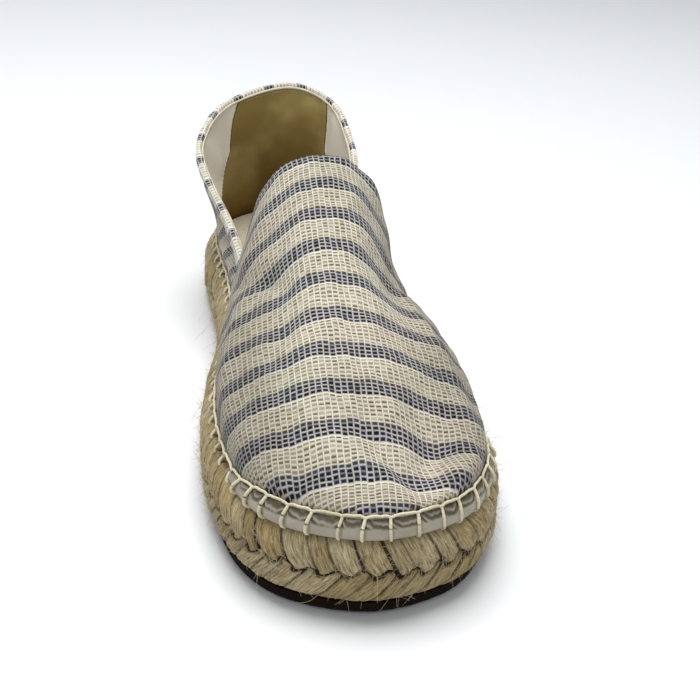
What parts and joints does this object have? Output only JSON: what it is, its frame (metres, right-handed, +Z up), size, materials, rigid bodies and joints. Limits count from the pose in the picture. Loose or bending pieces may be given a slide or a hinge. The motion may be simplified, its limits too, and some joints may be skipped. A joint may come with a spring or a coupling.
{
  "type": "espadrille",
  "caption": "Left slip-on espadrille: hollow striped canvas upper with a high rounded vamp, notched sides and a bound collar, on a braided jute sole with a rubber bottom.",
  "frame": {"origin": "on the floor under the middle of the shoe's bounding box", "axes": "+X to the wearer's left, which is the lateral side of this left shoe; +Y from the toe to the heel; +Z up. The toe points to -Y."},
  "size_m": [0.1031, 0.286, 0.0979],
  "materials": {
    "outsole_rubber": "matte dark brown",
    "jute_braid": "coarse natural jute plait",
    "rand_rubber": "satin grey-beige",
    "striped_canvas": "coarse plain weave, cream and taupe with navy stripes",
    "binding_canvas": "folded strip of the same cloth",
    "insole_canvas": "plain cream canvas"
  },
  "bodies": {
    "root": {"outsole": "outsole_rubber", "jute_sole": "jute_braid", "toe_rand": "rand_rubber", "upper": "striped_canvas", "collar_binding": "binding_canvas", "insole": "insole_canvas"}
  },
  "joints": []
}
